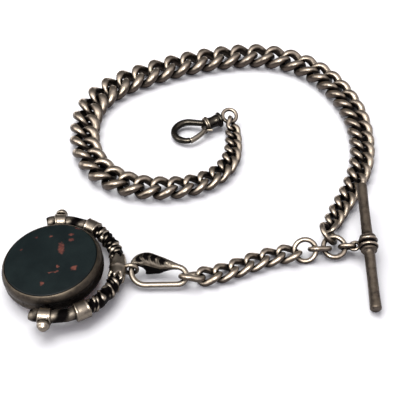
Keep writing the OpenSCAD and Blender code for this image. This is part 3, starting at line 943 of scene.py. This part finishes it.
def fob_disc():
    rim = [(WEB_T / 2, 0.4), (WEB_T / 2, STONE_R + 0.03), (BEZEL_HALF - 0.25, STONE_R + 0.05)]
    rim += [(BEZEL_HALF - 0.04, STONE_R + 0.12), (BEZEL_HALF - 0.05, STONE_R + 0.2), (2.6, 11.28)]
    wall = [(2.3, 11.5), (1.9, 11.75), (1.4, 11.93), (0.95, BEZEL_R)]
    wall += [(0.75, 11.93), (0.55, 11.84), (0, 11.82)]
    front = rim + wall
    profile = front + [(-x, r) for x, r in reversed(front[:-1])]
    shape = Shape().lathe(profile, disc_place(1), 144, closed=True)
    shape.object("fob_bezel_worn", gilt, "fob_disc", "bezel_gilt", ["fob_bezel"])
    for node, side, stone in (("bloodstone", 1, bloodstone), ("carnelian", -1, carnelian)):
        low = WEB_T / 2 + 0.01
        top = low + STONE_T
        profile = [(low, 0.3), (low, STONE_R)]
        profile += arc_profile((top - STONE_ROUND, STONE_R - STONE_ROUND), STONE_ROUND, 90, -90, 5)
        profile += [(top + 0.02 * math.cos(math.pi / 2 * r / STONE_R), r) for r in (9, 7, 5, 3, 1, 0.2)]
        shape = Shape().lathe(profile, disc_place(side), 128)
        shape.object(node + "_polished", stone, "fob_disc", node, [node])


# ---- stones ----

def stone_material(name, deep, light, vein):
    n = Nodes(name)
    broad = n.noise(130.0, 5.0, 0.6)
    fine = n.noise(900.0, 4.0, 0.6)
    streak = n.noise(260.0, 6.0, 0.7, (1.0, 0.35, 1.0))
    base = n.mix(n.spread(broad, 0.35, 0.7), deep, light)
    base = n.mix(n.math("MULTIPLY", n.spread(streak, 0.58, 0.75), 0.5), base, vein)
    base = n.mix(n.math("MULTIPLY", n.spread(fine, 0.6, 0.8), 0.35), base, light)
    return n, base, fine


# A fleck is half faded at its length, or its width, divided by this
FLECK_FADE = 2.4
# Red flecks: middle (x, y) from the stone's middle, length, width and heading of the long way
FLECKS = (
    (2.1, 3.1, 4.2, 1.6, 100), (4.2, 5.6, 1.5, 1.1, 20), (4.0, 7.3, 1.6, 0.8, 10),
    (5.3, 9.3, 1.5, 0.9, 0), (5.8, -3.3, 1.7, 1.4, 60), (-1.1, -7.3, 1.2, 1.3, 90),
    (1.9, -2.5, 0.8, 0.6, 90), (0.9, -4.2, 3.0, 0.35, 8), (-0.8, 7.0, 0.8, 0.6, 0),
    (-4.3, 7.0, 0.6, 0.5, 0), (-7.6, 3.4, 0.7, 0.5, 45), (2.2, -4.0, 0.8, 0.5, 30),
)


def bloodstone_material():
    n, base, fine = stone_material(
        "bloodstone", (0.0035, 0.0075, 0.008), (0.007, 0.013, 0.013), (0.011, 0.018, 0.017))
    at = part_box("bloodstone")
    middle = (at[0] + at[1]) / 2
    spot = n.add("TexCoord").outputs["Object"]
    wobble = n.add("TexNoise", {"Vector": spot, "Scale": 1400.0, "Detail": 4.0}).outputs["Color"]
    wobble = n.add("VectorMath", {0: wobble, 1: (0.5, 0.5, 0.5)}, operation="SUBTRACT").outputs[0]
    wobble = n.add("VectorMath", {0: wobble, "Scale": 1.3 * MM}, operation="SCALE").outputs[0]
    spot = n.add("VectorMath", {0: spot, 1: wobble}, operation="ADD").outputs[0]
    nearest = None
    for x, y, length, width, heading in FLECKS:
        local = n.add("Mapping", {
            "Vector": spot,
            "Location": (middle.x + x * MM, middle.y + y * MM, middle.z),
            "Rotation": (0, 0, math.radians(heading)),
            "Scale": (length / FLECK_FADE * MM, width / FLECK_FADE * MM, 1.0),
        }, vector_type="TEXTURE").outputs[0]
        reach = n.add("VectorMath", {0: local}, operation="LENGTH").outputs["Value"]
        nearest = reach if nearest is None else n.math("MINIMUM", nearest, reach)
    inside = n.math("SUBTRACT", 1.0, n.spread(nearest, 0.75, 1.25))
    red = n.mix(n.spread(fine, 0.4, 0.65), (0.10, 0.024, 0.018), (0.20, 0.060, 0.040))
    base = n.mix(n.math("MULTIPLY", inside, 0.7), base, red)
    rough = n.math("ADD", 0.4, n.math("MULTIPLY", fine, 0.12))
    n.set(Base_Color=base, Roughness=rough)
    n.shader.inputs["Specular IOR Level"].default_value = 0.3
    n.bump(n.noise(2200.0, 3.0), 0.08, 0.03 * MM)
    return n.material


def carnelian_material():
    n, base, fine = stone_material(
        "carnelian", (0.22, 0.035, 0.012), (0.36, 0.08, 0.025), (0.45, 0.14, 0.05))
    n.set(Base_Color=base, Roughness=n.math("ADD", 0.2, n.math("MULTIPLY", fine, 0.15)))
    n.bump(n.noise(2200.0, 3.0), 0.08, 0.03 * MM)
    return n.material


bloodstone = bloodstone_material()
carnelian = carnelian_material()

main_chain()
drop_chain()
plain_rings()
t_bar()
t_bar_collar()
loose_links()
clip_eye()
clip_barrel()
clip_collar()
clip_hook()
clip_gate()
pear_loop()
fob_bail()
pivot_pins()
fob_disc()

# These two stay as the CAD has them
for node in ("gate_pin", "gate_spring"):
    for material_slot in frame["nodes"][node].material_slots:
        material_slot.material = steel


# ---- floor, lights and camera ----

FLOOR_HALF = 3000 * MM
CAMERA_TARGET = Vector((-0.7, -10.3, 0)) * MM
CAMERA_DISTANCE = 210.5 * MM
CAMERA_ELEVATION = math.radians(45)


def floor():
    mesh = bpy.data.meshes.new("floor")
    corners = [(x * FLOOR_HALF, y * FLOOR_HALF, 0) for x, y in ((-1, -1), (1, -1), (1, 1), (-1, 1))]
    mesh.from_pydata(corners, [], [(0, 1, 2, 3)])
    obj = bpy.data.objects.new("floor", mesh)
    bpy.context.scene.collection.objects.link(obj)
    n = Nodes("pale_floor")
    grain = n.noise(900.0, 3.0, 0.5)
    n.set(Base_Color=n.mix(grain, (0.93, 0.925, 0.935), (0.95, 0.945, 0.955)), Roughness=0.75)
    n.shader.inputs["Specular IOR Level"].default_value = 0.2
    mesh.materials.append(n.material)


def soft_box(name, place, size, energy):
    """A rectangular light that is aimed at the middle of the object."""
    light = bpy.data.lights.new(name, "AREA")
    light.shape = "RECTANGLE"
    light.size, light.size_y = size[0] * MM, size[1] * MM
    light.energy = energy
    obj = bpy.data.objects.new(name, light)
    bpy.context.scene.collection.objects.link(obj)
    obj.location = Vector(place) * MM
    obj.rotation_euler = (-Vector(place)).to_track_quat("-Z", "Y").to_euler()
    return obj


def room():
    """The far side of the room is dark, and so is what the flat tops of the pieces mirror."""
    world = bpy.data.worlds.new("studio")
    bpy.context.scene.world = world
    world.use_nodes = True
    nodes, links = world.node_tree.nodes, world.node_tree.links
    back = nodes["Background"]
    back.inputs["Strength"].default_value = 0.55
    way = nodes.new("ShaderNodeTexCoord")
    parts = nodes.new("ShaderNodeSeparateXYZ")
    fade = nodes.new("ShaderNodeMapRange")
    fade.inputs["From Min"].default_value = -0.2
    fade.inputs["From Max"].default_value = 0.75
    fade.interpolation_type = "SMOOTHSTEP"
    tint = nodes.new("ShaderNodeMix")
    tint.data_type = "RGBA"
    tint.inputs[6].default_value = (0.96, 0.93, 1.0, 1)
    tint.inputs[7].default_value = (0.10, 0.10, 0.11, 1)
    links.new(way.outputs["Generated"], parts.inputs[0])
    links.new(parts.outputs["Y"], fade.inputs["Value"])
    links.new(fade.outputs["Result"], tint.inputs["Factor"])
    links.new(tint.outputs[2], back.inputs["Color"])


def studio():
    room()
    # A light in front is for the metal to mirror, and leaves the floor's shadows alone
    front_box = soft_box("front_box", (-60, -330, 420), (300, 200), 1.9)
    front_box.visible_diffuse = False
    soft_box("left_box", (-420, -120, 260), (200, 300), 0.5)
    # A light from behind shapes the soft shadows only: the metal doesn't mirror it
    back_box = soft_box("back_box", (-90, 190, 400), (520, 440), 3.0)
    back_box.visible_glossy = False
    bpy.context.scene.view_settings.view_transform = "Standard"
    bpy.context.scene.view_settings.exposure = 0.0


def camera():
    data = bpy.data.cameras.new("camera")
    data.sensor_width = 36
    data.lens = 72
    data.clip_start, data.clip_end = 0.01, 20
    obj = bpy.data.objects.new("camera", data)
    bpy.context.scene.collection.objects.link(obj)
    back = Vector((0, -math.cos(CAMERA_ELEVATION), math.sin(CAMERA_ELEVATION)))
    obj.location = CAMERA_TARGET + back * CAMERA_DISTANCE
    obj.rotation_euler = (-back).to_track_quat("-Z", "Y").to_euler()
    bpy.context.scene.camera = obj


floor()
studio()
camera()
